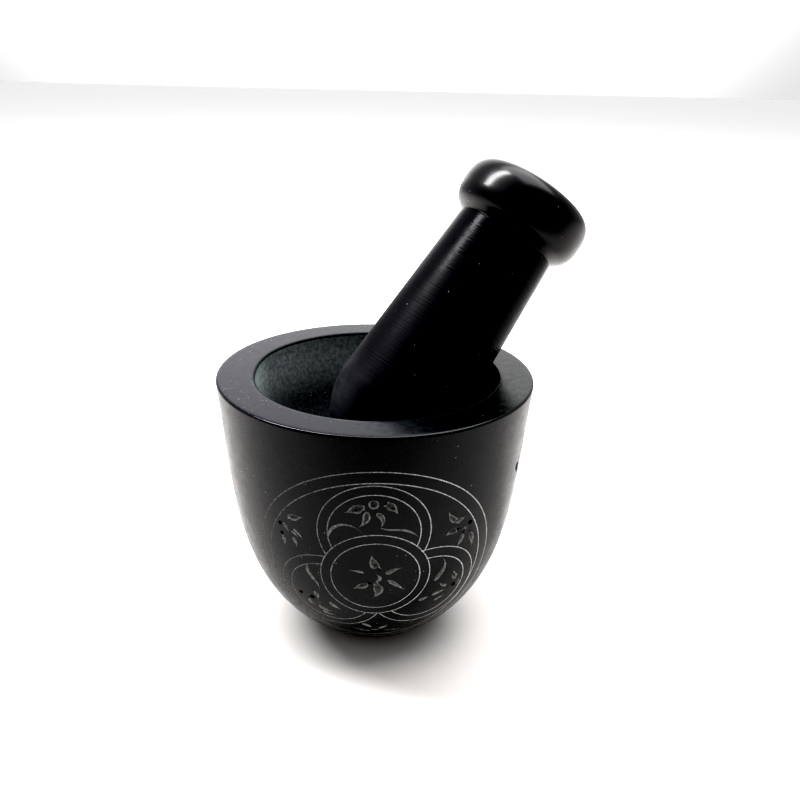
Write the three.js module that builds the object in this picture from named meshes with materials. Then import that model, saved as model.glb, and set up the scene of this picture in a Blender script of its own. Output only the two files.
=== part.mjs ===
// Small stone mortar (molcajete) with its pestle (tejolote), each turned from one block.
// Units are millimetres, +Z is up. The origin is the centre of the mortar's flat base.
import * as THREE from "three";

// Driving dimensions of the mortar.
const RIM_RADIUS = 50;
const HEIGHT = 90;
const CAVITY_RADIUS = 39;
const CAVITY_DEPTH = 34;
const BASE_FLAT_RADIUS = 15.5;
const OUTER_RIM_EDGE = 0.9;
const INNER_RIM_EDGE = 0.6;

// The base turns up into the belly round this edge. Its corner is where the flat and the
// belly would meet if the edge were sharp.
const BASE_CORNER_RADIUS = 18;
const BELLY_START = { radius: 20, height: 2.1 };

// The outer wall is one cubic curve from the base's edge to the rim. Its handles set how full
// the belly is and how far the wall stays upright.
const BELLY_HANDLE = { radius: 0.957 * RIM_RADIUS, height: 0.236 * HEIGHT };
const WALL_HANDLE = { radius: 0.923 * RIM_RADIUS, height: 0.571 * HEIGHT };

// Driving dimensions of the pestle. Its own frame has +Y up the shaft and its origin at the
// centre of the widest section, just above the grinding foot.
const FOOT_RADIUS = 20.6;
const FOOT_DROP = 23.5;
const SHAFT_LENGTH = 63.5;
const NECK_RADIUS = 16.9;
const NECK_GROOVE = 0.5;

// The knob has a sloping underside, a small rounded edge, a slightly barrelled side, a round
// shoulder and a low domed crown. Heights are above the neck.
const KNOB_HEIGHT = 18.5;
const UNDERSIDE_END = { radius: 20, height: 2.9 };
const KNOB_EDGE = { radius: 21.3, height: 3.5 };
const SIDE_START = { radius: 21.5, height: 5.3 };
const SIDE_HANDLE = { radius: 22.2, height: 10.5 };
const SHOULDER_HANDLE = { radius: 22.2, height: 16.9 };
const CROWN_START = { radius: 16.2, height: 17.6 };
const CROWN_HANDLE_RADIUS = 8.5;

// Where the pestle stands: its foot on the cavity's floor and its shaft on the rim's inner
// edge, with a running clearance of 0.3 mm at both.
const PESTLE_FOOT = new THREE.Vector3(6.8, 0.6, 79.2);
const LEAN_ELEVATION = THREE.MathUtils.degToRad(52);
const LEAN_AZIMUTH = THREE.MathUtils.degToRad(28);

// Facets around each piece, and how far apart they are along a curved stretch of its outline.
// The smallest rounded edge still has EDGE_FACETS.
const MORTAR_SEGMENTS = 64;
const MORTAR_FACET_LENGTH = 4.5;
const PESTLE_SEGMENTS = 48;
const PESTLE_FACET_LENGTH = 3;
const EDGE_FACETS = 3;

// The mortar's outline, from the middle of its base up the outside and down into the cavity.
function mortarOutline() {
  const wallTop = HEIGHT - OUTER_RIM_EDGE;
  const cavityTop = HEIGHT - INNER_RIM_EDGE;
  const cavityDrop = CAVITY_DEPTH - INNER_RIM_EDGE;
  const outline = new THREE.Path();
  outline.moveTo(0, 0);
  outline.lineTo(BASE_FLAT_RADIUS, 0);
  outline.quadraticCurveTo(BASE_CORNER_RADIUS, 0, BELLY_START.radius, BELLY_START.height);
  outline.bezierCurveTo(
    BELLY_HANDLE.radius,
    BELLY_HANDLE.height,
    WALL_HANDLE.radius,
    WALL_HANDLE.height,
    RIM_RADIUS,
    wallTop,
  );
  outline.quadraticCurveTo(RIM_RADIUS, HEIGHT, RIM_RADIUS - OUTER_RIM_EDGE, HEIGHT);
  outline.lineTo(CAVITY_RADIUS + INNER_RIM_EDGE, HEIGHT);
  outline.quadraticCurveTo(CAVITY_RADIUS, HEIGHT, CAVITY_RADIUS, cavityTop);
  outline.absellipse(0, cavityTop, CAVITY_RADIUS, cavityDrop, 0, -Math.PI / 2, true);
  return outline;
}

// The pestle's outline, from the tip of its foot up the shaft, round the neck groove and
// over the knob to the middle of its crown.
function pestleOutline() {
  const aboveNeck = (height) => SHAFT_LENGTH + height;
  const outline = new THREE.Path();
  outline.moveTo(0, -FOOT_DROP);
  outline.absellipse(0, 0, FOOT_RADIUS, FOOT_DROP, -Math.PI / 2, 0, false);
  outline.lineTo(NECK_RADIUS, aboveNeck(-NECK_GROOVE));
  outline.lineTo(NECK_RADIUS - NECK_GROOVE, aboveNeck(0));
  outline.lineTo(UNDERSIDE_END.radius, aboveNeck(UNDERSIDE_END.height));
  outline.quadraticCurveTo(
    KNOB_EDGE.radius,
    aboveNeck(KNOB_EDGE.height),
    SIDE_START.radius,
    aboveNeck(SIDE_START.height),
  );
  outline.bezierCurveTo(
    SIDE_HANDLE.radius,
    aboveNeck(SIDE_HANDLE.height),
    SHOULDER_HANDLE.radius,
    aboveNeck(SHOULDER_HANDLE.height),
    CROWN_START.radius,
    aboveNeck(CROWN_START.height),
  );
  outline.quadraticCurveTo(CROWN_HANDLE_RADIUS, aboveNeck(KNOB_HEIGHT), 0, aboveNeck(KNOB_HEIGHT));
  return outline;
}

// The points of an outline: the ends of its straight lines and the facets of its curves.
function outlinePoints(outline, facetLength) {
  const points = [outline.curves[0].getPoint(0)];
  for (const stretch of outline.curves) {
    const facets = Math.max(EDGE_FACETS, Math.ceil(stretch.getLength() / facetLength));
    const steps = stretch.isLineCurve ? 1 : facets;
    points.push(...stretch.getPoints(steps).slice(1));
  }
  return points;
}

// A closed solid of revolution about its own +Y.
function turned(outline, segments, facetLength) {
  return new THREE.LatheGeometry(outlinePoints(outline, facetLength), segments);
}

function stone(color, roughness) {
  return new THREE.MeshStandardMaterial({ color, roughness, metalness: 0 });
}

function makeMortar() {
  const body = turned(mortarOutline(), MORTAR_SEGMENTS, MORTAR_FACET_LENGTH);
  const mortar = new THREE.Mesh(body, stone(0x232325, 0.4));
  mortar.name = "mortar";
  mortar.rotation.x = Math.PI / 2;
  return mortar;
}

function makePestle() {
  const body = turned(pestleOutline(), PESTLE_SEGMENTS, PESTLE_FACET_LENGTH);
  const pestle = new THREE.Mesh(body, stone(0x18181b, 0.2));
  const level = Math.cos(LEAN_ELEVATION);
  const shaftDirection = new THREE.Vector3(
    level * Math.cos(LEAN_AZIMUTH),
    level * Math.sin(LEAN_AZIMUTH),
    Math.sin(LEAN_ELEVATION),
  );
  pestle.name = "pestle";
  pestle.quaternion.setFromUnitVectors(new THREE.Vector3(0, 1, 0), shaftDirection);
  pestle.position.copy(PESTLE_FOOT);
  return pestle;
}

const molcajete = new THREE.Group();
molcajete.add(makeMortar(), makePestle());

export default molcajete;
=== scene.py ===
# A small soapstone mortar (molcajete) with an engraved medallion, and its turned pestle (tejolote).
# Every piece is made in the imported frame: metres, +Z up, the mortar's base centred on the origin.
import math

import bmesh
import bpy
import numpy as np
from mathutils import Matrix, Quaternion, Vector, noise
from mathutils.geometry import delaunay_2d_cdt
from mathutils.kdtree import KDTree


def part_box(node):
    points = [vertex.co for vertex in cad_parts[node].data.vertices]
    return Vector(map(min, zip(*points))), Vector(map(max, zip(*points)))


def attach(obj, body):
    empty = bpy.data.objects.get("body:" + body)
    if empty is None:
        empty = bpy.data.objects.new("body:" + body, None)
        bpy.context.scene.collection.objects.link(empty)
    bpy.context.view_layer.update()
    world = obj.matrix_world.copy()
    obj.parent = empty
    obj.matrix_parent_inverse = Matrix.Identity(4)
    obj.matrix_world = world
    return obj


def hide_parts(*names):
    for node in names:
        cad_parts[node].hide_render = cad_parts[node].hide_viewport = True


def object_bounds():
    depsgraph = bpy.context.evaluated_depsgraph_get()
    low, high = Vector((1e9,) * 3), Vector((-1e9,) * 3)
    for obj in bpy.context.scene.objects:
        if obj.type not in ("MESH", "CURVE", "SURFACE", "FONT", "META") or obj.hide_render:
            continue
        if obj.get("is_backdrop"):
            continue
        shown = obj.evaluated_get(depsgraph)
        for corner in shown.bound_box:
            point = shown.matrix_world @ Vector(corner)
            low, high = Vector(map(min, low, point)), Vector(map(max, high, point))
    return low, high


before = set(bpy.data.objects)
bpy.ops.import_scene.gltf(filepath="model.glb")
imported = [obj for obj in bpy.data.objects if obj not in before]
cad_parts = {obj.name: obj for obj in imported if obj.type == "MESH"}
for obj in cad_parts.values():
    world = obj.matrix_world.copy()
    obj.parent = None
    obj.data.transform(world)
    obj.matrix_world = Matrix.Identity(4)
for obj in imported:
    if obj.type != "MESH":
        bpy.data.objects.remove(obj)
cad_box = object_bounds()

# The design is written in millimetres of the object's real size. MM is one of them in metres.
RIM_RADIUS = 50
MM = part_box("mortar")[1].x / RIM_RADIUS
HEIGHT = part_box("mortar")[1].z / MM

# The mortar's outline.
CAVITY_RADIUS = 39
CAVITY_DEPTH = 34
BASE_FLAT_RADIUS = 15.5
BASE_CORNER_RADIUS = 18
OUTER_RIM_EDGE = 0.9
INNER_RIM_EDGE = 0.6
BELLY_START = (20, 2.1)
BELLY_HANDLE = (0.957 * RIM_RADIUS, 0.236 * HEIGHT)
WALL_HANDLE = (0.923 * RIM_RADIUS, 0.571 * HEIGHT)

# The pestle's outline, as radius and distance up its axis from the widest part of its foot.
FOOT_RADIUS = 20.6
FOOT_DROP = 23.5
SHAFT_LENGTH = 63.5
NECK_RADIUS = 16.9
NECK_GROOVE = 0.5
KNOB_HEIGHT = 18.5
UNDERSIDE_END = (19.2, 2.1)
KNOB_EDGE = (21.4, 4.0)
SIDE_START = (21.6, 7.5)
SIDE_HANDLE = (21.8, 11)
SHOULDER_HANDLE = (22.2, 16.9)
CROWN_START = (16.2, 17.6)
CROWN_HANDLE_RADIUS = 8.5

# How fine the meshes are: columns round a piece, distances between rows, and facets on an edge.
MORTAR_COLUMNS = 240
WALL_ROW = 1.5
CAVITY_ROW = 1.2
BASE_ROW = 4
OUTER_EDGE_STEPS = 5
INNER_EDGE_STEPS = 4
PESTLE_COLUMNS = 160
PESTLE_ROW = 0.5
SHAFT_ROW = 0.25

# In how many steps a curve is worked out before its points are spaced evenly.
WALL_STEPS = 2000
ARC_STEPS = 200
CURVE_STEPS = 100
KNOB_EDGE_STEPS = 40
GOUGE_STEPS = 60

# What counts as the same place, in millimetres, and in a finished mesh, in metres.
SAME_POINT = 1e-5
BELLY_MARGIN = 0.01
WELD_DISTANCE = 1e-6
NO_LENGTH = 1e-7

# The lathe's faint ribs round the pestle's shaft. Their height drifts in waves, each with a
# share of that height and a turn, in radians, for every millimetre up the shaft.
RIB_PITCH = 1.4
RIB_RISE = 0.004
RIB_DRIFT = ((0.4, 0.9), (0.3, 0.37))

# Where the engraving is: degrees round the wall from the front, and how far below the rim.
MEDALLION_ANGLES = (0.9, 180)
SPRIG_ANGLES = (90, 270)
MEDALLION_DROP = 47.3
DENT_ANGLE = 67
DENT_DROP = 23
SEAM_ANGLE = -60

# A line is cut with a V tool and a petal with a small spoon gouge. A cut's steepness is its
# depth as a share of its half-width.
LINE_WIDTH = 0.34
LINE_STEEPNESS = 0.7
GOUGE_STEEPNESS = 0.7
GOUGE_ENTRY = 1.7
GOUGE_POINT = 0.03
PIT_STEEPNESS = 1.0
DENT_STEEPNESS = 0.4

# The hand wavers in waves along a line: how many, and how far its seed shifts them.
HAND_WAVER = 0.06
HAND_WAVES = ((3, 1), (7, 2), (13, 1))

# How the wall's mesh follows the cuts.
STROKE_STEP = 0.8
GOUGE_STEP = 0.4
GOUGE_FEWEST_STEPS = 8
WIDE_STROKE = 0.4
INNER_LINE = 0.55
PIT_RINGS = (1, 0.6)
PIT_CORNERS = 18
CLEAR_OF_STROKES = 0.5
COMPASS_ROUNDS = 8

# The cavity is cut by hand: its edge stands in a little at the left, and pecking left it rough,
# with finer marks among the coarse ones.
WORN_ANGLE = math.radians(-90)
WORN_SPREAD = math.radians(24)
WORN_IN = 1.1
PECK_SIZE = 3.2
PECK_DEPTH = 0.16
FINE_PECK_SHARE = 0.5
FINE_PECK_RATIO = 2.3

# The materials of the mortar's faces, and of the pestle's.
WALL, GROOVE, SCOOP, PIT, RIM, CAVITY = range(6)
SHAFT, KNOB = range(2)


# ------------------------------------------------------------------------------ outlines

def bezier(controls, steps):
    """steps + 1 points along the Bezier curve with these control points."""
    share = np.linspace(0, 1, steps + 1)[:, None]
    level = [np.array(point, float)[None, :] for point in controls]
    while len(level) > 1:
        level = [(1 - share) * a + share * b for a, b in zip(level, level[1:])]
    return level[0]


def arc(centre, radii, start, end, steps):
    """steps + 1 points along an ellipse's arc, from start to end in degrees."""
    turn = np.radians(np.linspace(start, end, steps + 1))
    return np.column_stack([
        centre[0] + radii[0] * np.cos(turn),
        centre[1] + radii[1] * np.sin(turn),
    ])


def distances(points):
    """How far along a line of points each one is."""
    steps = np.linalg.norm(np.diff(points, axis=0), axis=1)
    return np.concatenate([[0], np.cumsum(steps)])


def evenly(points, spacing):
    """The same line with its points about spacing apart."""
    along = distances(points)
    count = max(1, math.ceil(along[-1] / spacing))
    wanted = np.linspace(0, along[-1], count + 1)
    return np.column_stack([np.interp(wanted, along, column) for column in np.array(points).T])


def joined(*stretches):
    """One line from stretches that start where the one before ends."""
    return np.vstack([stretches[0]] + [stretch[1:] for stretch in stretches[1:]])


# ------------------------------------------------------------------------------ the wall

class Wall:
    """The mortar's outer wall unrolled: x goes round it, measured at the rim, and y goes up it."""

    def __init__(self):
        top = (RIM_RADIUS, HEIGHT - OUTER_RIM_EDGE)
        self.outline = bezier([BELLY_START, BELLY_HANDLE, WALL_HANDLE, top], WALL_STEPS)
        self.along = distances(self.outline)
        self.length = self.along[-1]
        slope = np.gradient(self.outline, self.along, axis=0)
        self.facing = np.column_stack([slope[:, 1], -slope[:, 0]])

    def radius(self, y):
        return np.interp(y, self.along, self.outline[:, 0])

    def spots(self, xy, depth):
        """Points in space for unrolled points, sunk into the wall by depth."""
        turn = xy[:, 0] / RIM_RADIUS
        out = np.interp(xy[:, 1], self.along, self.facing[:, 0])
        up = np.interp(xy[:, 1], self.along, self.facing[:, 1])
        radius = self.radius(xy[:, 1]) - depth * out
        height = np.interp(xy[:, 1], self.along, self.outline[:, 1]) - depth * up
        return np.column_stack([radius * np.sin(turn), -radius * np.cos(turn), height])

    def normals(self, points):
        """The smooth wall's normals at points in space that lie on it."""
        level = np.hypot(points[:, 0], points[:, 1])
        out = np.interp(points[:, 2], self.outline[:, 1], self.facing[:, 0])
        up = np.interp(points[:, 2], self.outline[:, 1], self.facing[:, 1])
        return np.column_stack([out * points[:, 0] / level, out * points[:, 1] / level, up])


wall = Wall()


class Panel:
    """A patch of the wall with its own flat drawing plane: across to the right and up."""

    def __init__(self, angle, middle):
        self.angle = math.radians(angle)
        self.middle = middle
        self.strokes = []

    def to_wall(self, drawn):
        y = self.middle + drawn[:, 1]
        return np.column_stack([(self.angle + drawn[:, 0] / wall.radius(y)) * RIM_RADIUS, y])

    def from_wall(self, xy):
        across = (xy[:, 0] / RIM_RADIUS - self.angle) * wall.radius(xy[:, 1])
        return np.column_stack([across, xy[:, 1] - self.middle])

    def spots(self, drawn):
        return wall.spots(self.to_wall(drawn), 0)

    def compass(self, centre, radius, start=0, end=360):
        """An arc drawn with compasses, whose needle stands in the wall at centre."""
        needle = self.spots(np.array([centre], float))
        steps = math.ceil(math.radians(end - start) * radius / STROKE_STEP)
        turn = np.radians(np.linspace(start, end, steps + 1))
        heading = np.column_stack([np.cos(turn), np.sin(turn)])
        reach = np.full(len(turn), float(radius))
        for _ in range(COMPASS_ROUNDS):
            gap = np.linalg.norm(self.spots(centre + heading * reach[:, None]) - needle, axis=1)
            reach *= radius / gap
        return centre + heading * reach[:, None]


# ------------------------------------------------------------------------------ strokes

class Stroke:
    """A cut with a middle line, a half-width at each of its points, and a steepness."""

    def __init__(self, middle, half, steepness, material=GROOVE):
        self.middle = middle
        self.half = half
        self.steepness = steepness
        self.material = material

    def side(self, share):
        """The line at a share of the half-width to the left of the middle line."""
        heading = np.gradient(self.middle, axis=0)
        heading /= np.linalg.norm(heading, axis=1)[:, None]
        left = np.column_stack([-heading[:, 1], heading[:, 0]])
        return self.middle + left * (self.half * share)[:, None]

    def lines(self):
        """The lines that its mesh follows: its edges, its middle, and two between if it is wide."""
        yield self.side(1)
        yield self.side(-1)
        yield self.middle
        if self.half.max() > WIDE_STROKE:
            yield self.side(INNER_LINE)[1:-1]
            yield self.side(-INNER_LINE)[1:-1]

    def cut(self, drawn):
        """For each drawn point, how deep it is cut, and whether it is inside the stroke."""
        deep = np.zeros(len(drawn))
        inside = np.zeros(len(drawn), bool)
        margin = self.half.max()
        near = np.all(drawn > self.middle.min(0) - margin, axis=1)
        near &= np.all(drawn < self.middle.max(0) + margin, axis=1)
        where = np.flatnonzero(near)
        if len(where) == 0:
            return deep, inside
        run = np.diff(self.middle, axis=0)
        offset = drawn[where][:, None, :] - self.middle[:-1]
        share = np.clip((offset * run).sum(2) / (run ** 2).sum(1), 0, 1)
        gap = np.linalg.norm(offset - share[..., None] * run, axis=2)
        half = self.half[:-1] + share * np.diff(self.half)
        from_middle = gap / half
        nearest = from_middle.argmin(1)
        rows = np.arange(len(where))
        from_middle = from_middle[rows, nearest]
        half = half[rows, nearest]
        deep[where] = self.steepness * half * np.clip(1 - from_middle ** 2, 0, 1)
        inside[where] = from_middle < 1
        return deep, inside


def waver(count, seed):
    """A smooth, repeatable unsteadiness of the hand, as a share of a line's width."""
    turn = np.linspace(0, 2 * math.pi, count)
    return HAND_WAVER * sum(np.sin(waves * turn + shift * seed) for waves, shift in HAND_WAVES)


def line(middle, seed):
    """A thin engraved line that thins and thickens a little."""
    half = LINE_WIDTH / 2 * (1 + waver(len(middle), seed))
    return Stroke(middle, half, LINE_STEEPNESS)


def swelling(share, peak, blunt):
    """Share of a gouge's full width along it: from a point, to its widest at peak, to its end."""
    rise = np.clip(share / peak, 0, 1)
    fall = np.clip((1 - share) / (1 - peak), 0, 1)
    end = np.sqrt(1 - (1 - fall) ** 2) if blunt else np.sin(fall * math.pi / 2)
    return np.where(share < peak, np.sin(rise * math.pi / 2) ** GOUGE_ENTRY, end)


def gouge(controls, width, peak=0.7, blunt=True):
    """A petal or leaf, from its tip to its root along a Bezier curve."""
    rough = bezier(controls, GOUGE_STEPS)
    middle = evenly(rough, min(GOUGE_STEP, distances(rough)[-1] / GOUGE_FEWEST_STEPS))
    share = distances(middle) / distances(middle)[-1]
    half = np.maximum(width / 2 * swelling(share, peak, blunt), GOUGE_POINT)
    return Stroke(middle, half, GOUGE_STEEPNESS, SCOOP)


class Pit:
    """A round hollow, made by turning the point of a tool in the stone."""

    def __init__(self, centre, radius, steepness=PIT_STEEPNESS, material=PIT):
        self.centre = np.array(centre, float)
        self.radius = radius
        self.steepness = steepness
        self.material = material

    def lines(self):
        for share in PIT_RINGS:
            yield arc(self.centre, (share * self.radius,) * 2, 0, 360, PIT_CORNERS)

    def cut(self, drawn):
        from_middle = np.linalg.norm(drawn - self.centre, axis=1) / self.radius
        return self.steepness * self.radius * np.clip(1 - from_middle ** 2, 0, 1), from_middle < 1


# ------------------------------------------------------------------------------ the drawing

ENCLOSING_RADII = (37.3, 33.7)
CENTRAL_RADII = (16.3, 13.2)
LOBES = (
    {"angle": 92, "distance": 16.4, "radii": (16.5, 13.5)},
    {"angle": 213, "distance": 16.7, "radii": (16.0, 12.8)},
    {"angle": 336, "distance": 17.3, "radii": (16.6, 13.1)},
)


def rings(panel):
    """Two rings round everything, two round the middle, and three lobes that stop at those."""
    for radius in ENCLOSING_RADII + CENTRAL_RADII:
        panel.strokes.append(line(panel.compass((0, 0), radius), radius))
    for lobe in LOBES:
        heading = math.radians(lobe["angle"])
        distance = lobe["distance"]
        centre = (distance * math.cos(heading), distance * math.sin(heading))
        for radius in lobe["radii"]:
            opening = distance ** 2 + radius ** 2 - CENTRAL_RADII[0] ** 2
            hidden = math.degrees(math.acos(opening / (2 * distance * radius)))
            start = lobe["angle"] + 180 + hidden
            end = lobe["angle"] + 540 - hidden
            panel.strokes.append(line(panel.compass(centre, radius, start, end), radius))


def star(panel):
    """The six-petalled flower in the middle, with a comma at its heart."""
    panel.strokes += [
        gouge([(-1.2, 9.2), (-1.3, 6.4), (0.6, 3.9)], 2.6),
        gouge([(-7.6, 2.9), (-5, 2.9), (-3.2, 2.1)], 0.8),
        gouge([(7.8, 3.9), (5.2, 3.4), (2.9, 1.7)], 1.5),
        gouge([(-6.7, -4.6), (-4.5, -3.8), (-2.2, -2.2)], 2.3),
        gouge([(8.9, -5.8), (6.5, -3), (3.6, -0.8)], 1.4),
        gouge([(-0.7, -8.4), (2, -6), (0.3, -2.8)], 2.9),
        gouge([(0.2, 1.6), (2.5, -0.1), (0, -1.6)], 1.1, 0.5),
    ]


def top_lobe(panel):
    """Three round petals over two drooping ones, between two tendrils."""
    panel.strokes += [
        gouge([(-8.9, 23.6), (-6.2, 24.9), (-3.9, 25.5)], 2.9, 0.72),
        Pit((-0.8, 26.7), 1.5, GOUGE_STEEPNESS, SCOOP),
        gouge([(6, 23.4), (5, 25.6), (2.8, 26.6)], 2.6),
        gouge([(-4.9, 19), (-2.1, 21.2), (-2.9, 24.2)], 2.2),
        gouge([(1.3, 18.8), (2.9, 22.6), (-0.2, 23.7)], 1.6),
        gouge([(12.2, 14.8), (8, 19.4), (5.5, 17), (1.2, 18.8)], 0.7, 0.3),
        gouge([(-3.9, 16.8), (-6.5, 20.9), (-13.2, 20.4), (-13.9, 14.3)], 0.9),
    ]


def side_flowers(panel):
    """The two flowers between the enclosing rings and the lobes."""
    panel.strokes += [
        gouge([(-21.8, 19.5), (-24, 18.4), (-26.4, 18.3)], 2.1),
        gouge([(-26.7, 12.7), (-27.3, 14.2), (-28.6, 15.4)], 1.2),
        gouge([(-21.8, 11.4), (-23, 13.2), (-25.2, 14.4)], 0.8),
        gouge([(-23.3, 11.6), (-24.4, 12.8), (-25.9, 13.4)], 0.8),
        gouge([(-24.1, 7.6), (-23.9, 9.8), (-25.5, 11.3)], 1.2),
        gouge([(-28.6, 7.1), (-28, 9), (-29.2, 10.6)], 1.3),
        Pit((-29.7, 15), 0.7),
        Pit((-29.3, 11.5), 0.6),
        gouge([(21.4, 21.6), (22.2, 18.6), (24.8, 17.1)], 2),
        gouge([(27.9, 17.9), (26, 17.7), (24, 16.8)], 1.7),
        gouge([(20.6, 12.9), (22.6, 14.2), (24.9, 14)], 2.1),
        gouge([(25.2, 7.4), (26.6, 9.2), (27.2, 11.8)], 1.8),
        gouge([(31.3, 5.2), (31.5, 8.4), (30, 11.2)], 1.9),
        gouge([(26.8, 13.4), (27.8, 14.3), (28.6, 13.3)], 1, 0.5),
        Pit((29.6, 15.3), 0.8),
    ]


def lower_lobes(panel):
    """A tendril, a seeded flower and leaves in each lower lobe, and a sprig under the middle."""
    panel.strokes += [
        gouge([(-17.1, -7.8), (-16.8, -3.4), (-21.4, -2.6), (-20.9, 2)], 1.1),
        gouge([(-17.8, -12.6), (-17.4, -10.6), (-19, -9)], 1.4),
        gouge([(-18.9, -16.6), (-20.6, -15.6), (-21, -13.8)], 1.3),
        gouge([(-13.6, -18), (-15.8, -17.8), (-17.6, -16)], 1.4),
        gouge([(-12.2, -19.6), (-14.4, -20), (-16.4, -18.6)], 1),
        gouge([(-10, -15.9), (-12.4, -14.8), (-13.9, -12.6)], 1.3),
        Pit((-23.8, -11.6), 0.7),
        Pit((-19.7, -12.2), 0.8),
        gouge([(20.6, 4.8), (23, 0.6), (20.2, -0.4), (18.4, -4.4)], 1.7, 0.75),
        gouge([(25.1, -2), (25.2, -4.2), (26.1, -6.1)], 2),
        gouge([(20.2, -5.7), (21.2, -7.8), (23.2, -8)], 1.3),
        gouge([(27.6, -6.9), (27.6, -8.4), (26.8, -9.8)], 1.1),
        gouge([(17, -11), (15.2, -11.2), (13.4, -12.2)], 1.5),
        gouge([(23, -10.1), (20.4, -9.8), (17.8, -10.8)], 1.3),
        gouge([(22.8, -12.8), (20.6, -13), (18.8, -14.2)], 1.1),
        Pit((25.6, -8.9), 0.8),
        gouge([(-0.4, -27), (-1.6, -25), (-3.8, -23.4)], 1.5),
        gouge([(4.2, -24.3), (3.4, -26.4), (1, -27.5)], 1.5),
        gouge([(-6.6, -27.6), (-3.4, -29.4), (-0.6, -30.2)], 0.8, 0.5, False),
        gouge([(9.8, -29.6), (6, -30.2), (2.6, -29.6)], 0.8, 0.5, False),
        gouge([(-1.4, -29), (0.2, -28.4), (1.8, -29)], 1, 0.5, False),
    ]


def side_sprig(panel):
    """An upright sprig with paired leaves and a round flower, between the two medallions."""
    panel.strokes.append(gouge([(0, 11), (1.6, 2), (-1.6, -10), (0, -22)], 1.1, 0.6))
    for height in (-15, -7, 1):
        for way in (-1, 1):
            tip = (way * 7, height + 6)
            bend = (way * 6, height + 1)
            root = (way * 1.4, height)
            panel.strokes.append(gouge([tip, bend, root], 2.2))
    heart = np.array((0, 17))
    panel.strokes.append(Pit(heart, 0.9))
    for angle in range(0, 360, 60):
        heading = np.array((math.cos(math.radians(angle)), math.sin(math.radians(angle))))
        panel.strokes.append(gouge([heart + 6.2 * heading, heart + 1.8 * heading], 2.4))


def dent(panel):
    """An old knock in the wall, with a crumb broken out below it."""
    panel.strokes += [
        Pit((0, 0), 1.4, DENT_STEEPNESS),
        Pit((0.9, -1.9), 0.8, DENT_STEEPNESS),
    ]


def draw_panels():
    """The medallion on the front and back, a sprig on each side, and a dent at the right."""
    middle = wall.length - MEDALLION_DROP
    medallions = [Panel(angle, middle) for angle in MEDALLION_ANGLES]
    sprigs = [Panel(angle, middle) for angle in SPRIG_ANGLES]
    knock = Panel(DENT_ANGLE, wall.length - DENT_DROP)
    for panel in medallions:
        for motif in (rings, star, top_lobe, side_flowers, lower_lobes):
            motif(panel)
    for panel in sprigs:
        side_sprig(panel)
    dent(knock)
    return medallions + sprigs + [knock]


# ------------------------------------------------------------------------------ the mortar's mesh

def column_angles():
    """The angles of the mesh's columns round the mortar, with the seam's angle at both ends."""
    return math.radians(SEAM_ANGLE) + np.linspace(0, 2 * math.pi, MORTAR_COLUMNS + 1)


def tree_of(lines):
    """A search tree of all the points on these unrolled lines."""
    points = np.vstack(lines)
    tree = KDTree(len(points))
    for index, (x, y) in enumerate(points):
        tree.insert((x, y, 0), index)
    tree.balance()
    return tree


def plain_points(strokes_tree):
    """The wall's grid of unrolled points, left out near the strokes but kept at its borders."""
    rows = np.linspace(0, wall.length, math.ceil(wall.length / WALL_ROW) + 1)
    columns = column_angles() * RIM_RADIUS
    kept = []
    for j, y in enumerate(rows):
        for i, x in enumerate(columns):
            border = i in (0, MORTAR_COLUMNS) or j in (0, len(rows) - 1)
            if border or strokes_tree.find((x, y, 0))[2] > CLEAR_OF_STROKES:
                kept.append((x, y))
    return kept


def stroke_lines(panels):
    """Every stroke's lines on the unrolled wall."""
    return [
        panel.to_wall(drawn)
        for panel in panels
        for stroke in panel.strokes
        for drawn in stroke.lines()
    ]


def cuts(panels, xy):
    """The depth of the engraving at unrolled points, and the material of what is cut there."""
    deep = np.zeros(len(xy))
    material = np.full(len(xy), WALL)
    for panel in panels:
        drawn = panel.from_wall(xy)
        for stroke in panel.strokes:
            stroke_depth, inside = stroke.cut(drawn)
            material[inside] = np.maximum(material[inside], stroke.material)
            deep = np.maximum(deep, stroke_depth)
    return deep, material


def wall_mesh():
    """The engraved wall's vertices, how deep each is cut, its triangles, and their materials."""
    panels = draw_panels()
    lines = stroke_lines(panels)
    points = plain_points(tree_of(lines))
    edges = []
    for stroke_line in lines:
        first = len(points)
        points += [tuple(point) for point in stroke_line]
        edges += [(k, k + 1) for k in range(first, len(points) - 1)]
    vectors = [Vector(point) for point in points]
    flat, _, triangles, *_ = delaunay_2d_cdt(vectors, edges, [], 0, SAME_POINT, False)
    xy = np.array([tuple(point) for point in flat])
    triangles = np.array(triangles)
    deep, _ = cuts(panels, xy)
    _, materials = cuts(panels, xy[triangles].mean(1))
    return wall.spots(xy, deep), deep, triangles, materials


def worn_in(radius, height, angle):
    """How far the hand-cut cavity stands in from its round shape, and how far its rim does."""
    turn = (angle - WORN_ANGLE + math.pi) % (2 * math.pi) - math.pi
    left = WORN_IN * math.exp(-(turn / WORN_SPREAD) ** 2)
    to_edge = (RIM_RADIUS - radius) / (RIM_RADIUS - CAVITY_RADIUS)
    from_floor = (height - HEIGHT + CAVITY_DEPTH) / CAVITY_DEPTH
    return left * min(1, max(0, to_edge)) * max(0, 2 * from_floor - 1)


def pecked(spot, height):
    """The roughness that pecking leaves in the cavity, out of its polished edge."""
    coarse = noise.noise(spot / PECK_SIZE)
    fine = noise.noise(spot / PECK_SIZE * FINE_PECK_RATIO)
    below_edge = HEIGHT - INNER_RIM_EDGE - height
    return PECK_DEPTH * (coarse + FINE_PECK_SHARE * fine) * min(1, max(0, below_edge / PECK_SIZE))


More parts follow.
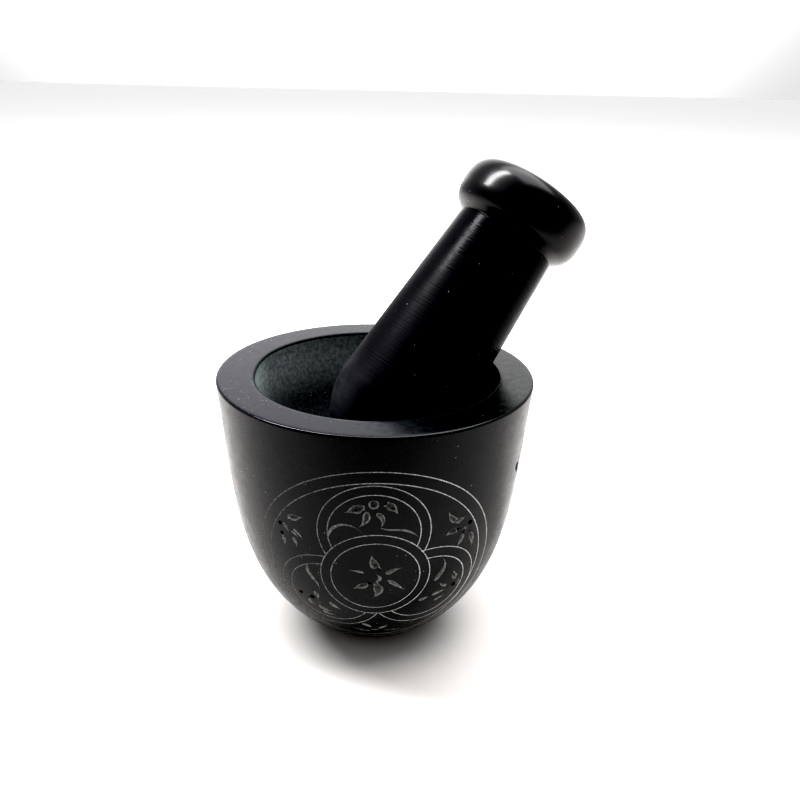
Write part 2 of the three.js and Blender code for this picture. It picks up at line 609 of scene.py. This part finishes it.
def ring_grid(outline, material):
    """Vertices and quads of an outline turned about the mortar's axis, over the wall's columns."""
    angles = column_angles()
    spots = []
    for radius, height in outline:
        for angle in angles:
            heading = Vector((math.sin(angle), -math.cos(angle), 0))
            reach = radius
            if material in (RIM, CAVITY):
                reach -= worn_in(radius, height, angle)
            if material == CAVITY and radius > 0:
                reach -= pecked(heading * radius + Vector((0, 0, height)), height)
            spots.append(heading * reach + Vector((0, 0, height)))
    wide = MORTAR_COLUMNS + 1
    quads = [
        (row * wide + i, row * wide + i + 1, (row + 1) * wide + i + 1, (row + 1) * wide + i)
        for row in range(len(outline) - 1)
        for i in range(MORTAR_COLUMNS)
    ]
    return spots, quads


def rim_outline():
    """Over the rounded outer edge and in across the flat top."""
    wall_top = (RIM_RADIUS, HEIGHT - OUTER_RIM_EDGE)
    corner = (RIM_RADIUS, HEIGHT)
    flat_start = (RIM_RADIUS - OUTER_RIM_EDGE, HEIGHT)
    flat_end = (CAVITY_RADIUS + INNER_RIM_EDGE, HEIGHT)
    edge = bezier([wall_top, corner, flat_start], OUTER_EDGE_STEPS)
    return joined(edge, evenly([flat_start, flat_end], CAVITY_ROW))


def cavity_outline():
    """Over the rounded inner edge and down to the middle of the bowl's floor."""
    lip = INNER_RIM_EDGE
    flat_end = (CAVITY_RADIUS + lip, HEIGHT)
    corner = (CAVITY_RADIUS, HEIGHT)
    bowl_top = (CAVITY_RADIUS, HEIGHT - lip)
    edge = bezier([flat_end, corner, bowl_top], INNER_EDGE_STEPS)
    bowl = arc((0, HEIGHT - lip), (CAVITY_RADIUS, CAVITY_DEPTH - lip), 0, -90, ARC_STEPS)
    bowl[-1, 0] = 0
    return joined(edge, evenly(bowl, CAVITY_ROW))


def base_outline():
    """Out across the flat base and up its rounded edge."""
    flat = evenly([(0, 0), (BASE_FLAT_RADIUS, 0)], BASE_ROW)
    corner = [(BASE_FLAT_RADIUS, 0), (BASE_CORNER_RADIUS, 0), BELLY_START]
    return joined(flat, bezier(corner, OUTER_EDGE_STEPS))


def make_mortar():
    """The whole mortar as one closed mesh, with one material for each kind of surface."""
    vertices, deep, triangles, triangle_materials = wall_mesh()
    spots = [vertices]
    faces = [tuple(int(k) for k in triangle) for triangle in triangles]
    materials = list(triangle_materials)
    turned = ((rim_outline(), RIM), (cavity_outline(), CAVITY), (base_outline(), WALL))
    for outline, material in turned:
        first = sum(len(part) for part in spots)
        part, quads = ring_grid(outline, material)
        spots.append(part)
        faces += [tuple(first + k for k in quad) for quad in quads]
        materials += [material] * len(quads)
    mesh = bpy.data.meshes.new("mortar_stone")
    mesh.from_pydata((np.vstack(spots) * MM).tolist(), [], faces)
    mesh.polygons.foreach_set("material_index", np.array(materials, np.int32))
    depth = mesh.attributes.new("depth", "FLOAT", "POINT")
    depth.data.foreach_set("value", np.pad(deep, (0, len(mesh.vertices) - len(deep))))
    close_up(mesh)
    shade_engraving(mesh)
    mortar = bpy.data.objects.new("mortar_stone", mesh)
    bpy.context.scene.collection.objects.link(mortar)
    return mortar


def close_up(mesh):
    """Welds what meets, removes what has no area, turns every face out and shades it smooth."""
    work = bmesh.new()
    work.from_mesh(mesh)
    bmesh.ops.remove_doubles(work, verts=work.verts, dist=WELD_DISTANCE)
    bmesh.ops.dissolve_degenerate(work, edges=work.edges, dist=NO_LENGTH)
    bmesh.ops.recalc_face_normals(work, faces=work.faces)
    for face in work.faces:
        face.smooth = True
    work.to_mesh(mesh)
    work.free()


def whole_numbers(items, name):
    """One whole number for each of a mesh's items."""
    found = np.zeros(len(items), np.int32)
    items.foreach_get(name, found)
    return found


def triples(items, name):
    """One vector for each of a mesh's items, as rows."""
    found = np.zeros(len(items) * 3)
    items.foreach_get(name, found)
    return found.reshape(-1, 3)


def shade_engraving(mesh):
    """Gives the wall between the cuts the normals of its smooth shape."""
    normals = triples(mesh.corner_normals, "vector")
    spots = triples(mesh.vertices, "co") / MM
    corners = whole_numbers(mesh.loops, "vertex_index")
    sizes = whole_numbers(mesh.polygons, "loop_total")
    materials = np.repeat(whole_numbers(mesh.polygons, "material_index"), sizes)
    belly_bottom = BELLY_START[1] - BELLY_MARGIN
    on_wall = (materials == WALL) & (spots[corners, 2] > belly_bottom)
    normals[on_wall] = wall.normals(spots[corners[on_wall]])
    mesh.normals_split_custom_set(normals.tolist())


# ------------------------------------------------------------------------------ the pestle's mesh

def pestle_outline():
    """Radius and distance up the axis, from the tip of the foot to the middle of the crown."""
    def above_neck(*points):
        return [(radius, SHAFT_LENGTH + height) for radius, height in points]

    shaft_top = (NECK_RADIUS, -NECK_GROOVE)
    groove = (NECK_RADIUS - NECK_GROOVE, 0)
    crown_handle = (CROWN_HANDLE_RADIUS, KNOB_HEIGHT)
    crown_tip = (0, KNOB_HEIGHT)
    foot = arc((0, 0), (FOOT_RADIUS, FOOT_DROP), -90, 0, ARC_STEPS)
    shaft = evenly([(FOOT_RADIUS, 0), *above_neck(shaft_top)], SHAFT_ROW)
    shaft[:, 0] += ribs(shaft[:, 1])
    neck = above_neck(shaft_top, groove)
    underside = above_neck(groove, UNDERSIDE_END)
    edge = bezier(above_neck(UNDERSIDE_END, KNOB_EDGE, SIDE_START), KNOB_EDGE_STEPS)
    side = bezier(above_neck(SIDE_START, SIDE_HANDLE, SHOULDER_HANDLE, CROWN_START), CURVE_STEPS)
    crown = bezier(above_neck(CROWN_START, crown_handle, crown_tip), CURVE_STEPS)
    knob = [evenly(stretch, PESTLE_ROW) for stretch in (neck, underside, edge, side, crown)]
    return joined(evenly(foot, PESTLE_ROW), shaft, *knob)


def ribs(height):
    """The lathe's ribs, which fade out towards both ends of the shaft."""
    fade = np.sin(math.pi * height / height[-1])
    drift = 1 + sum(share * np.sin(height * turn) for share, turn in RIB_DRIFT)
    return RIB_RISE * drift * np.sin(2 * math.pi * height / RIB_PITCH) * fade


def pestle_ends():
    """The tips of the foot and the crown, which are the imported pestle's two ends, in metres."""
    spots = np.array([vertex.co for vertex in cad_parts["pestle"].data.vertices])
    lengthwise = np.linalg.svd(spots - spots.mean(0), full_matrices=False)[2][0]
    if lengthwise[2] < 0:
        lengthwise = -lengthwise
    places = spots @ lengthwise
    return Vector(spots[places.argmin()]), Vector(spots[places.argmax()])


class Axis:
    """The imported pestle's own axis, in metres: its middle is in the widest part of the foot."""

    def __init__(self):
        foot, crown = pestle_ends()
        self.heading = (crown - foot).normalized()
        self.middle = foot + self.heading * FOOT_DROP * MM
        self.turn = self.heading.to_track_quat("Z", "Y")

    def spot(self, radius, height, angle):
        """The place, in metres, of a radius and a height in millimetres, at an angle round it."""
        reach = radius * MM
        level = Vector((reach * math.cos(angle), reach * math.sin(angle), height * MM))
        return self.middle + self.turn @ level


pestle_axis = Axis()


def make_pestle():
    """The whole pestle as one closed mesh, whose two materials meet in the neck groove."""
    foot_end, *outline, crown_end = pestle_outline()
    ring_materials = [SHAFT if height < SHAFT_LENGTH else KNOB for _, height in outline]
    angles = np.linspace(0, 2 * math.pi, PESTLE_COLUMNS, endpoint=False)
    spots = [
        pestle_axis.spot(radius, height, angle)
        for radius, height in outline
        for angle in angles
    ]
    foot_tip = len(spots)
    crown_tip = foot_tip + 1
    spots += [pestle_axis.spot(0, height, 0) for _, height in (foot_end, crown_end)]
    last_ring = foot_tip - PESTLE_COLUMNS
    faces = []
    materials = []
    for i in range(PESTLE_COLUMNS):
        after = (i + 1) % PESTLE_COLUMNS
        faces += [(foot_tip, after, i), (crown_tip, last_ring + i, last_ring + after)]
        materials += [SHAFT, KNOB]
        for ring, low in enumerate(range(0, last_ring, PESTLE_COLUMNS)):
            high = low + PESTLE_COLUMNS
            faces.append((low + i, low + after, high + after, high + i))
            materials.append(ring_materials[ring])
    mesh = bpy.data.meshes.new("pestle_stone")
    mesh.from_pydata(spots, [], faces)
    mesh.polygons.foreach_set("material_index", np.array(materials, np.int32))
    close_up(mesh)
    pestle = bpy.data.objects.new("pestle_stone", mesh)
    bpy.context.scene.collection.objects.link(pestle)
    return pestle


# ------------------------------------------------------------------------------ materials

# Linear colours. Where there are two, the stone's clouds or its grain run from one to the other.
DUST = (0.42, 0.42, 0.40)
# The waxed wall's low colours are painted shade: its lower part is painted darker than its upper.
WAXED_LOW_PAINTED_SHADE = ((0.002, 0.0022, 0.0025), (0.004, 0.0043, 0.0046))
WAXED_HIGH = ((0.006, 0.0055, 0.006), (0.0085, 0.008, 0.0085))
WAXED_GLINT = (0.95, 0.975, 1)
# The engraved lines are painted darker at the left and lighter at the right: painted shade and
# light.
LINE_PAINTED_SHADE_LEFT = ((0.08, 0.08, 0.08), (0.24, 0.24, 0.235))
LINE_PAINTED_LIGHT_RIGHT = ((0.38, 0.38, 0.38), (0.7, 0.7, 0.69))
PETAL_SHALLOW = ((0.13, 0.13, 0.127), (0.33, 0.33, 0.32))
# The petals' deep colours are painted shade in the bottoms of the gouges.
PETAL_DEEP_PAINTED_SHADE = ((0.03, 0.03, 0.03), (0.11, 0.11, 0.107))
DRILLED = (0.02, 0.02, 0.02)
RIM_LEFT = (0.008, 0.008, 0.015)
RIM_RIGHT = (0.012, 0.0145, 0.014)
RIM_WORN = (0.10, 0.10, 0.10)
# The cavity is painted darker deep down as painted shade, and lighter at its upper left as painted
# light.
CAVITY_DEEP_PAINTED_SHADE = ((0.018, 0.021, 0.022), (0.038, 0.042, 0.044))
CAVITY_UPPER = ((0.18, 0.195, 0.20), (0.28, 0.30, 0.305))
CAVITY_GREEN_PAINTED_LIGHT = ((0.30, 0.35, 0.335), (0.48, 0.54, 0.52))
CAVITY_LIP = (0.03, 0.034, 0.034)
SHAFT_MATT = ((0.018, 0.018, 0.0205), (0.027, 0.027, 0.031))
# The foot's lighter colours are dust and painted light, laid only on its left side.
SHAFT_DUST_AND_PAINTED_LIGHT = ((0.055, 0.056, 0.062), (0.1, 0.101, 0.11))
KNOB_BLACK = ((0.004, 0.004, 0.0052), (0.008, 0.008, 0.0098))

# Nearly all of a noise node's values lie in this range.
NOISE_RANGE = (0.3, 0.7)

# A grain of dust fades beyond this share of its radius. Its cell's random number says whether
# it is there, in a step this wide.
GRAIN_CORE = 0.6
GRAIN_STEP = 0.01

# The left of the rim, where the dust lies thickest.
DUSTY_SPOT = (-36 * MM, -20 * MM, HEIGHT * MM)


class Shading:
    """A Principled material and the nodes that feed it, all laid out in the object's own space."""

    def __init__(self, name):
        self.material = bpy.data.materials.new(name)
        self.material.use_nodes = True
        self.tree = self.material.node_tree
        self.shader = self.tree.nodes["Principled BSDF"]
        self.place = self.add("TexCoord").outputs["Object"]

    def fill(self, socket, value):
        """Links a socket from another one, or sets it to a number, a vector or an RGB colour."""
        if isinstance(value, bpy.types.NodeSocket):
            self.tree.links.new(value, socket)
        elif socket.type == "RGBA":
            socket.default_value = (*value, 1)
        else:
            socket.default_value = value

    def add(self, kind, settings=None, **inputs):
        """A new node with its settings, and its inputs as numbers or as sockets to link from."""
        node = self.tree.nodes.new("ShaderNode" + kind)
        for key, value in (settings or {}).items():
            setattr(node, key, value)
        for key, value in inputs.items():
            self.fill(node.inputs[key.replace("_", " ")], value)
        return node

    def look(self, **inputs):
        """Sets or links the shader's own inputs."""
        for key, value in inputs.items():
            self.fill(self.shader.inputs[key.replace("_", " ")], value)

    def math(self, operation, a, b):
        node = self.add("Math", {"operation": operation})
        self.fill(node.inputs[0], a)
        self.fill(node.inputs[1], b)
        return node.outputs["Value"]

    def vector_math(self, operation, a, b=None):
        """The vector or the number that the operation gives."""
        node = self.add("VectorMath", {"operation": operation})
        self.fill(node.inputs[0], a)
        if b is not None:
            self.fill(node.inputs[1], b)
        return next(s for s in node.outputs if s.enabled)

    def coordinate(self, axis):
        """The object's own X, Y or Z, in metres."""
        return self.add("SeparateXYZ", Vector=self.place).outputs[axis]

    def up_axis(self, axis):
        """How far up an axis from its middle, in metres."""
        offset = self.vector_math("SUBTRACT", self.place, axis.middle)
        return self.vector_math("DOT_PRODUCT", offset, axis.heading)

    def from_axis(self):
        """The distance from the object's own Z axis, in metres."""
        level = self.vector_math("MULTIPLY", self.place, (1, 1, 0))
        return self.vector_math("LENGTH", level)

    def around(self, spot, near, far):
        """1 within near of a spot, fading to 0 at far."""
        return self.between(self.vector_math("DISTANCE", self.place, spot), near, far, 1, 0)

    def noise(self, size, detail=3):
        """Soft random clouds about size across, from 0 to 1."""
        node = self.add("TexNoise", Vector=self.place, Scale=1 / size, Detail=detail)
        return node.outputs["Fac"]

    def clouds(self, size, detail, low=0, high=1):
        """The same clouds with their contrast stretched, from low to high."""
        return self.between(self.noise(size, detail), *NOISE_RANGE, low, high)

    def bands(self, value, size):
        """Random bands about size wide across the way that value grows, from 0 to 1."""
        one_way = {"noise_dimensions": "1D"}
        node = self.add("TexNoise", one_way, W=value, Scale=1 / size, Detail=2)
        return node.outputs["Fac"]

    def specks(self, spacing, radius, share):
        """Small round grains: 1 on a grain and 0 elsewhere, in a share of the cells of this size."""
        cells = self.add("TexVoronoi", Vector=self.place, Scale=1 / spacing)
        reach = radius / spacing
        grain = self.between(cells.outputs["Distance"], reach * GRAIN_CORE, reach, 1, 0)
        pick = self.add("SeparateColor", Color=cells.outputs["Color"]).outputs["Red"]
        return self.times(grain, self.between(pick, 1 - share, 1 - share + GRAIN_STEP))

    def between(self, value, low, high, to_low=0, to_high=1):
        """value from low to high, turned smoothly into to_low to to_high."""
        ends = {"From_Min": low, "From_Max": high, "To_Min": to_low, "To_Max": to_high}
        node = self.add("MapRange", {"interpolation_type": "SMOOTHSTEP"}, Value=value, **ends)
        return node.outputs["Result"]

    def times(self, a, b):
        return self.math("MULTIPLY", a, b)

    def mix(self, share, first, second):
        """A colour between first and second."""
        node = self.add("Mix", {"data_type": "RGBA"}, Factor=share)
        for name, value in (("A", first), ("B", second)):
            self.fill(next(s for s in node.inputs if s.name == name and s.type == "RGBA"), value)
        return next(s for s in node.outputs if s.type == "RGBA")

    def relief(self, *layers):
        """Bumps from pairs of a height and how far it rises, each on top of the one before."""
        top = {}
        for height, rise in layers:
            bump = self.add("Bump", Height=height, Distance=rise, Strength=1, **top)
            top = {"Normal": bump.outputs["Normal"]}
        self.look(**top)


def waxed_stone():
    """The outside: near-black soapstone, waxed to a satin, with a few grains of dust."""
    stone = Shading("waxed_stone")
    cloud = stone.noise(9 * MM)
    # Painted shade: the wall is painted darker below 20 mm, fading to its upper colour by 60 mm.
    upper = stone.between(stone.coordinate("Z"), 20 * MM, 60 * MM)
    body = stone.mix(upper, stone.mix(cloud, *WAXED_LOW_PAINTED_SHADE), stone.mix(cloud, *WAXED_HIGH))
    grains = stone.specks(2.6 * MM, 0.17 * MM, 0.5)
    stone.look(
        Base_Color=stone.mix(grains, body, DUST),
        Roughness=stone.clouds(5 * MM, 5, 0.24, 0.31),
        Specular_IOR_Level=0.47,
        Specular_Tint=WAXED_GLINT,
    )
    stone.relief((stone.noise(0.35 * MM, 2), 0.003 * MM), (stone.noise(3 * MM), 0.012 * MM))
    return stone.material


def scratched_stone():
    """The engraved lines: light grey, with painted light and shade that make them brighter towards
    the right.
    """
    stone = Shading("scratched_stone")
    grain = stone.clouds(0.6 * MM, 5)
    # Painted light and shade: the lines are painted darker at the left and brighter at the right.
    right = stone.between(stone.coordinate("X"), -32 * MM, 32 * MM)
    painted_shade_left = stone.mix(grain, *LINE_PAINTED_SHADE_LEFT)
    painted_light_right = stone.mix(grain, *LINE_PAINTED_LIGHT_RIGHT)
    stone.look(Base_Color=stone.mix(right, painted_shade_left, painted_light_right), Roughness=0.8)
    stone.relief((stone.noise(0.3 * MM), 0.03 * MM))
    return stone.material


def scooped_stone():
    """The engraved petals: the smooth cut of a gouge, with painted shade that darkens it the deeper
    it goes.
    """
    stone = Shading("scooped_stone")
    depth = stone.add("Attribute", {"attribute_name": "depth"}).outputs["Fac"]
    # Painted shade: the deeper the gouge, the darker it is painted.
    deep = stone.between(depth, 0.1, 0.7)
    grain = stone.clouds(0.8 * MM, 5)
    shallow = stone.mix(grain, *PETAL_SHALLOW)
    bottom = stone.mix(grain, *PETAL_DEEP_PAINTED_SHADE)
    stone.look(Base_Color=stone.mix(deep, shallow, bottom), Roughness=0.5)
    stone.relief((stone.noise(0.4 * MM), 0.03 * MM))
    return stone.material


def drilled_stone():
    """The dark bottoms of the drilled seeds."""
    stone = Shading("drilled_stone")
    stone.look(Base_Color=DRILLED, Roughness=0.8)
    stone.relief((stone.noise(0.3 * MM), 0.03 * MM))
    return stone.material


def rim_stone():
    """The flat rim: polished, finely scratched, with a worn inner edge and dust on it."""
    stone = Shading("rim_stone")
    edge_start = (CAVITY_RADIUS + 0.3) * MM
    edge_end = (CAVITY_RADIUS + 0.55) * MM
    edge = stone.between(stone.from_axis(), edge_start, edge_end, 1, 0)
    chipped = stone.between(stone.noise(0.6 * MM, 4), 0.52, 0.62)
    stretches = stone.between(stone.noise(16 * MM, 2), 0.48, 0.58)
    worn = stone.times(edge, stone.times(chipped, stretches))
    dusty = stone.around(DUSTY_SPOT, 8 * MM, 20 * MM)
    cluster = stone.times(stone.specks(0.9 * MM, 0.13 * MM, 0.35), dusty)
    scattered = stone.specks(1.9 * MM, 0.13 * MM, 0.4)
    right = stone.between(stone.coordinate("X"), -30 * MM, 40 * MM)
    body = stone.mix(worn, stone.mix(right, RIM_LEFT, RIM_RIGHT), RIM_WORN)
    grains = stone.math("MAXIMUM", cluster, scattered)
    stone.look(
        Base_Color=stone.mix(grains, body, DUST),
        Roughness=stone.clouds(2.5 * MM, 6, 0.18, 0.28),
    )
    stone.relief(
        (stone.noise(0.3 * MM, 2), 0.004 * MM),
        (stone.noise(1.6 * MM, 4), 0.008 * MM),
        (stone.noise(6 * MM), 0.014 * MM),
    )
    return stone.material


def ground_stone():
    """The cavity: pecked rough and greenish grey, with painted light at its upper left and painted
    shade deeper down.
    """
    stone = Shading("ground_stone")
    height = stone.coordinate("Z")
    grain = stone.clouds(1.2 * MM, 6)
    # Painted light: the upper left of the bowl is painted lighter and greener.
    left = stone.around((-CAVITY_RADIUS * MM, 0, HEIGHT * MM), 3 * MM, 18 * MM)
    # Painted shade: from 4 mm below the rim the bowl is painted darker, darkest from 20 mm down.
    near_rim = stone.between(height, (HEIGHT - 20) * MM, (HEIGHT - 4) * MM)
    lip = stone.between(height, (HEIGHT - 1.1) * MM, (HEIGHT - 0.5) * MM)
    upper = stone.mix(left, stone.mix(grain, *CAVITY_UPPER), stone.mix(grain, *CAVITY_GREEN_PAINTED_LIGHT))
    bowl = stone.mix(near_rim, stone.mix(grain, *CAVITY_DEEP_PAINTED_SHADE), upper)
    grains = stone.specks(2.2 * MM, 0.16 * MM, 0.3)
    stone.look(
        Base_Color=stone.mix(grains, stone.mix(lip, bowl, CAVITY_LIP), DUST),
        Roughness=0.85,
    )
    stone.relief((stone.noise(1.2 * MM, 5), 0.11 * MM), (stone.noise(0.35 * MM, 2), 0.05 * MM))
    return stone.material


def lathed_stone():
    """The pestle's shaft and foot: fine lathe marks, duller downwards, with dust and painted light
    on the foot.
    """
    stone = Shading("lathed_stone")
    up = stone.up_axis(pestle_axis)
    matt = stone.mix(stone.noise(7 * MM), *SHAFT_MATT)
    dusty = stone.mix(stone.noise(1.5 * MM, 5), *SHAFT_DUST_AND_PAINTED_LIGHT)
    clouds = stone.between(stone.noise(9 * MM), 0.3, 0.6, 0.45, 1)
    # Dust and painted light: the foot is painted lighter only on its left half, where light falls on
    # it.
    foot = stone.times(stone.between(up, 4 * MM, 24 * MM, 1, 0), clouds)
    left = stone.between(stone.coordinate("X"), -15 * MM, -1 * MM, 1, 0)
    body = stone.mix(stone.times(foot, left), matt, dusty)
    grains = stone.specks(3.2 * MM, 0.18 * MM, 0.5)
    smears = stone.clouds(4 * MM, 6, 0.16, 0.22)
    worn = stone.between(up, 12 * MM, SHAFT_LENGTH * MM, 0.27, 0)
    stone.look(
        Base_Color=stone.mix(grains, body, DUST),
        Roughness=stone.math("ADD", smears, worn),
        Specular_IOR_Level=0.11,
    )
    stone.relief((stone.bands(up, 0.6 * MM), 0.05 * MM), (stone.noise(3 * MM), 0.012 * MM))
    return stone.material


def polished_stone():
    """The pestle's knob: stone with a soft wax polish."""
    stone = Shading("polished_stone")
    body = stone.mix(stone.noise(7 * MM), *KNOB_BLACK)
    grains = stone.specks(3.2 * MM, 0.18 * MM, 0.5)
    stone.look(
        Base_Color=stone.mix(grains, body, DUST),
        Roughness=stone.clouds(4 * MM, 6, 0.36, 0.42),
        Specular_IOR_Level=0.2,
        Coat_Weight=0.68,
        Coat_Roughness=0.2,
    )
    stone.relief((stone.noise(3 * MM), 0.012 * MM))
    return stone.material


def mortar_materials():
    """The mortar's materials, in the order of WALL, GROOVE, SCOOP, PIT, RIM and CAVITY."""
    return [
        waxed_stone(),
        scratched_stone(),
        scooped_stone(),
        drilled_stone(),
        rim_stone(),
        ground_stone(),
    ]


# ------------------------------------------------------------------------------ the studio

CAMERA_PLACE = (0, -252.6, 185.07)
CAMERA_YAW = 1.81
CAMERA_PITCH = 22.57
CAMERA_ROLL = 1.42
CAMERA_LENS = 38.07
CAMERA_SENSOR = 36


def make_camera():
    yaw = math.radians(CAMERA_YAW)
    pitch = math.radians(CAMERA_PITCH)
    level = math.cos(pitch)
    forward = Vector((level * math.sin(yaw), level * math.cos(yaw), -math.sin(pitch)))
    data = bpy.data.cameras.new("camera")
    data.sensor_width = CAMERA_SENSOR
    data.lens = CAMERA_LENS
    camera = bpy.data.objects.new("camera", data)
    camera.location = Vector(CAMERA_PLACE) * MM
    camera.rotation_mode = "QUATERNION"
    roll = Quaternion((0, 0, 1), math.radians(CAMERA_ROLL))
    camera.rotation_quaternion = forward.to_track_quat("-Z", "Y") @ roll
    bpy.context.scene.collection.objects.link(camera)
    bpy.context.scene.camera = camera


# The floor: its half-width, where along Y the shade in front of the object ends and where the
# paper grows whiter behind it, all in metres, and its linear colours.
FLOOR_HALF = 4
FLOOR_SHADE = (-0.163, -0.128)
FLOOR_DISTANCE = (0.8, 1.8)
PAPER_PALE = (0.82, 0.80, 0.785)
PAPER_DISTANT = (0.97, 0.97, 0.97)
PAPER_SHADED = (0.48, 0.48, 0.48)


def make_floor():
    """A sheet of pale paper, shaded in front of the object and whiter in the distance."""
    mesh = bpy.data.meshes.new("floor")
    turns = ((-1, -1), (1, -1), (1, 1), (-1, 1))
    corners = [(x * FLOOR_HALF, y * FLOOR_HALF, 0) for x, y in turns]
    mesh.from_pydata(corners, [], [(0, 1, 2, 3)])
    paper = Shading("floor_paper")
    away = paper.coordinate("Y")
    pale = paper.mix(paper.between(away, *FLOOR_DISTANCE), PAPER_PALE, PAPER_DISTANT)
    shade = paper.between(away, *FLOOR_SHADE, 1, 0)
    paper.look(Base_Color=paper.mix(shade, pale, PAPER_SHADED), Roughness=0.7)
    mesh.materials.append(paper.material)
    floor = bpy.data.objects.new("floor", mesh)
    bpy.context.scene.collection.objects.link(floor)
    floor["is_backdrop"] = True


def soft_light(name, azimuth, elevation, distance, size, brightness):
    """A rectangular softbox that faces the object. Azimuth 0 is the front and 90 the right."""
    around = math.radians(azimuth)
    above = math.radians(elevation)
    level = math.cos(above)
    heading = Vector((level * math.sin(around), -level * math.cos(around), math.sin(above)))
    middle = Vector((0, 0, HEIGHT * MM))
    data = bpy.data.lights.new(name, "AREA")
    data.shape = "RECTANGLE"
    data.size, data.size_y = size
    data.energy = brightness * math.pi * size[0] * size[1]
    light = bpy.data.objects.new(name, data)
    light.location = middle + heading * distance
    light.rotation_mode = "QUATERNION"
    light.rotation_quaternion = (-heading).to_track_quat("-Z", "Y")
    bpy.context.scene.collection.objects.link(light)


def make_lights():
    """A narrow window high at the left, and a wide, weak light above the right."""
    soft_light("window", azimuth=-99, elevation=58, distance=0.9, size=(0.17, 0.62), brightness=17)
    soft_light("overhead", azimuth=115, elevation=74, distance=1.2, size=(1.25, 1.2), brightness=2.6)


# The studio's brightness to either side of the object, in front of it, and on the wall behind,
# and how many degrees from their middles the front and the wall fade.
WORLD_SIDE = 0.47
WORLD_FRONT = 0.25
WORLD_WALL = 1.05
FRONT_HEADING = (0, -1, 0)
FRONT_FADE = (26, 72)
WALL_ELEVATION = math.radians(21)
WALL_HEADING = (0, math.cos(WALL_ELEVATION), math.sin(WALL_ELEVATION))
WALL_FADE = (16, 34)


def make_world():
    world = bpy.data.worlds.new("studio")
    bpy.context.scene.world = world
    world.use_nodes = True
    nodes = world.node_tree.nodes
    links = world.node_tree.links
    direction = nodes.new("ShaderNodeTexCoord").outputs["Generated"]

    def facing(heading, fade_degrees, brightness):
        """brightness near a heading, fading to 0 between these degrees from it."""
        near, far = fade_degrees
        dot = nodes.new("ShaderNodeVectorMath")
        dot.operation = "DOT_PRODUCT"
        links.new(direction, dot.inputs[0])
        dot.inputs[1].default_value = heading
        fade = nodes.new("ShaderNodeMapRange")
        fade.interpolation_type = "SMOOTHSTEP"
        links.new(dot.outputs["Value"], fade.inputs["Value"])
        fade.inputs["From Min"].default_value = math.cos(math.radians(far))
        fade.inputs["From Max"].default_value = math.cos(math.radians(near))
        fade.inputs["To Max"].default_value = brightness
        return fade.outputs["Result"]

    lit = nodes.new("ShaderNodeMath")
    links.new(facing(WALL_HEADING, WALL_FADE, WORLD_WALL - WORLD_SIDE), lit.inputs[0])
    lit.inputs[1].default_value = WORLD_SIDE
    total = nodes.new("ShaderNodeMath")
    total.operation = "SUBTRACT"
    links.new(lit.outputs["Value"], total.inputs[0])
    links.new(facing(FRONT_HEADING, FRONT_FADE, WORLD_SIDE - WORLD_FRONT), total.inputs[1])
    links.new(total.outputs["Value"], nodes["Background"].inputs["Strength"])
    nodes["Background"].inputs["Color"].default_value = (1, 1, 1, 1)


# The picture's contrast: on the screen's own scale, where white is 1, a tone is multiplied by
# CONTRAST and then lowered by DARKENING. The curve for all three colours comes after their own.
CONTRAST = 1.75
DARKENING = 0.345
TONE_STEPS = 16
COMBINED_CURVE = 3


def to_linear(tone):
    """The sRGB standard's own curve, from a screen's tone to linear light."""
    return tone / 12.92 if tone <= 0.04045 else ((tone + 0.055) / 1.055) ** 2.4


def set_tones():
    """High-key studio contrast, as one curve between the tones that turn black and white."""
    settings = bpy.context.scene.view_settings
    settings.view_transform = "Standard"
    settings.use_curve_mapping = True
    low = to_linear(DARKENING / CONTRAST)
    high = to_linear((1 + DARKENING) / CONTRAST)
    curves = settings.curve_mapping
    curves.black_level = (low, low, low)
    curves.white_level = (high, high, high)
    points = curves.curves[COMBINED_CURVE].points
    for step in range(1, TONE_STEPS):
        tone = step / TONE_STEPS
        seen = to_linear((tone + DARKENING) / CONTRAST)
        points.new((seen - low) / (high - low), to_linear(tone))
    curves.update()


# ------------------------------------------------------------------------------ the object

make_camera()
make_floor()
make_world()
make_lights()
set_tones()

mortar = make_mortar()
for material in mortar_materials():
    mortar.data.materials.append(material)
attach(mortar, "mortar")
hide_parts("mortar")

pestle = make_pestle()
for material in (lathed_stone(), polished_stone()):
    pestle.data.materials.append(material)
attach(pestle, "pestle")
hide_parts("pestle")

sizes = {"cad": cad_box, "visual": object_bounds()}
{name: [list(corner) for corner in box] for name, box in sizes.items()}
